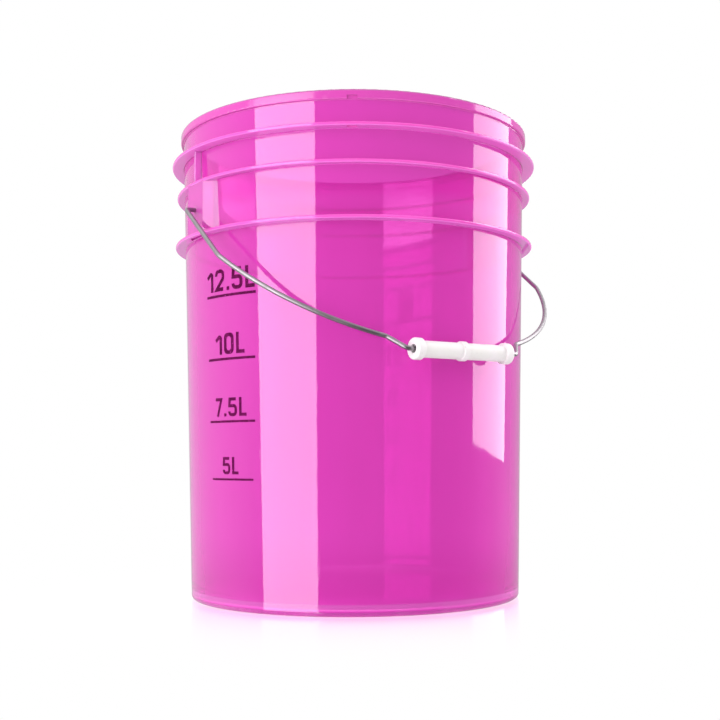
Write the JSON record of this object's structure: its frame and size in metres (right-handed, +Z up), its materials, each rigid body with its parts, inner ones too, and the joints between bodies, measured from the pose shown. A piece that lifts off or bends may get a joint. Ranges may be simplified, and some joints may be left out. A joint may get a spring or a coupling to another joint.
{
  "type": "wash bucket",
  "caption": "Clear plastic wash bucket with a rim lip, hoop flanges, a wire bail that swings over the rim, a loose tube grip and a printed litre scale.",
  "frame": {"origin": "on the pail's axis, at the plane its foot ring stands on", "axes": "+Z up along the pail's axis; the ears and the bail's pivots are on +X and -X; the bail hangs to the front, -Y, at rest"},
  "size_m": [0.3108, 0.3033, 0.377],
  "materials": {
    "clear_magenta_plastic": "clear tinted moulding, glossy",
    "zinc_wire": "drawn wire, bright zinc",
    "white_plastic": "moulded, slightly waxy",
    "print_ink": "pad-printed ink"
  },
  "bodies": {
    "pail": {"pail_body": "clear_magenta_plastic", "scale_mark_12_5L": "print_ink", "scale_line_12_5L": "print_ink", "scale_mark_10L": "print_ink", "scale_line_10L": "print_ink", "scale_mark_7_5L": "print_ink", "scale_line_7_5L": "print_ink", "scale_mark_5L": "print_ink", "scale_line_5L": "print_ink"},
    "bail": {"bail_wire": "zinc_wire"},
    "handle": {"grip": "white_plastic"}
  },
  "joints": [
    {"name": "bail_swing", "type": "hinge", "parent": "pail", "child": "bail", "pos_m": [0, 0, 0.3022], "axis": [-1, 0, 0], "range_deg": [0, 256.2]},
    {"name": "grip_spin", "type": "hinge", "parent": "bail", "child": "handle", "pos_m": [-0.0014, -0.14471, 0.18856], "axis": [1, 0, 0], "continuous": true}
  ]
}
